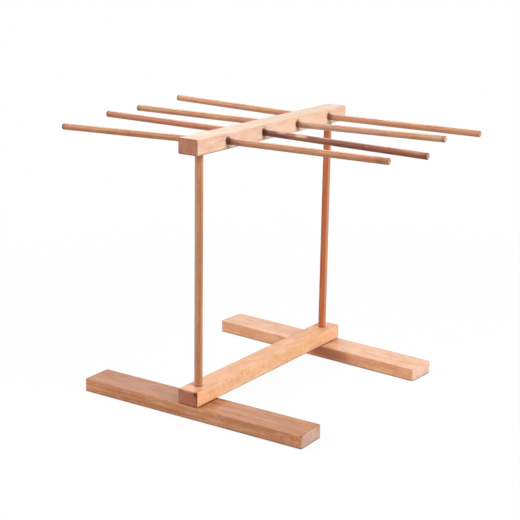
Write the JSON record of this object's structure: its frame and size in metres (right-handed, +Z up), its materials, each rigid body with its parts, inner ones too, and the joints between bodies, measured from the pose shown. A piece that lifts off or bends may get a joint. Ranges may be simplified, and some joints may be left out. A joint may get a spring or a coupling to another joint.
{
  "type": "pasta drying rack",
  "caption": "Free-standing wooden rack for drying fresh pasta: slim round arms stand out of a raised rail, carried by posts over a base with swivelling flat feet.",
  "frame": {"origin": "on the table, below the middle of the two rails; the feet are a few degrees out of square, so the box's middle lies about 3 mm from it", "axes": "+X along the arms and feet to the right, +Y along the rails from the front end to the rear, +Z up"},
  "size_m": [0.4648, 0.3364, 0.3385],
  "materials": {
    "beech_feet": "bare, smooth sanded",
    "beech_rails": "bare, smooth sanded",
    "beech_uprights": "bare, smooth turned",
    "beech_arms": "bare, smooth turned",
    "screw_steel": "satin zinc"
  },
  "bodies": {
    "frame": {"base_rail": "beech_rails", "top_rail": "beech_rails", "upright_front": "beech_uprights", "upright_rear": "beech_uprights", "foot_screw_front": "screw_steel", "foot_screw_rear": "screw_steel"},
    "foot_front": {"foot_front": "beech_feet"},
    "foot_rear": {"foot_rear": "beech_feet"},
    "arm_right_1": {"arm_right_1": "beech_arms"},
    "arm_right_2": {"arm_right_2": "beech_arms"},
    "arm_right_3": {"arm_right_3": "beech_arms"},
    "arm_right_4": {"arm_right_4": "beech_arms"},
    "arm_left_1": {"arm_left_1": "beech_arms"},
    "arm_left_2": {"arm_left_2": "beech_arms"},
    "arm_left_3": {"arm_left_3": "beech_arms"},
    "arm_left_4": {"arm_left_4": "beech_arms"}
  },
  "joints": [
    {"name": "front_foot_swivel", "type": "hinge", "parent": "frame", "child": "foot_front", "pos_m": [0, -0.141, 0.0165], "axis": [0, 0, 1], "range_deg": [-6, 79]},
    {"name": "rear_foot_swivel", "type": "hinge", "parent": "frame", "child": "foot_rear", "pos_m": [0, 0.141, 0.0165], "axis": [0, 0, 1], "range_deg": [-1.8, 83.2]},
    {"name": "arm_right_1_pull", "type": "slide", "parent": "frame", "child": "arm_right_1", "axis": [0.9999, 0, 0.0122], "range_m": [0, 0.03]},
    {"name": "arm_right_2_pull", "type": "slide", "parent": "frame", "child": "arm_right_2", "axis": [0.9999, 0, -0.0105], "range_m": [0, 0.03]},
    {"name": "arm_right_3_pull", "type": "slide", "parent": "frame", "child": "arm_right_3", "axis": [0.9997, 0, 0.0227], "range_m": [0, 0.03]},
    {"name": "arm_right_4_pull", "type": "slide", "parent": "frame", "child": "arm_right_4", "axis": [1, 0, 0.007], "range_m": [0, 0.03]},
    {"name": "arm_left_1_pull", "type": "slide", "parent": "frame", "child": "arm_left_1", "axis": [-0.9995, 0, -0.0332], "range_m": [0, 0.03]},
    {"name": "arm_left_2_pull", "type": "slide", "parent": "frame", "child": "arm_left_2", "axis": [-1, 0, 0.0017], "range_m": [0, 0.03]},
    {"name": "arm_left_3_pull", "type": "slide", "parent": "frame", "child": "arm_left_3", "axis": [-1, 0, -0.0087], "range_m": [0, 0.03]},
    {"name": "arm_left_4_pull", "type": "slide", "parent": "frame", "child": "arm_left_4", "axis": [-0.9998, 0, 0.0192], "range_m": [0, 0.03]}
  ]
}
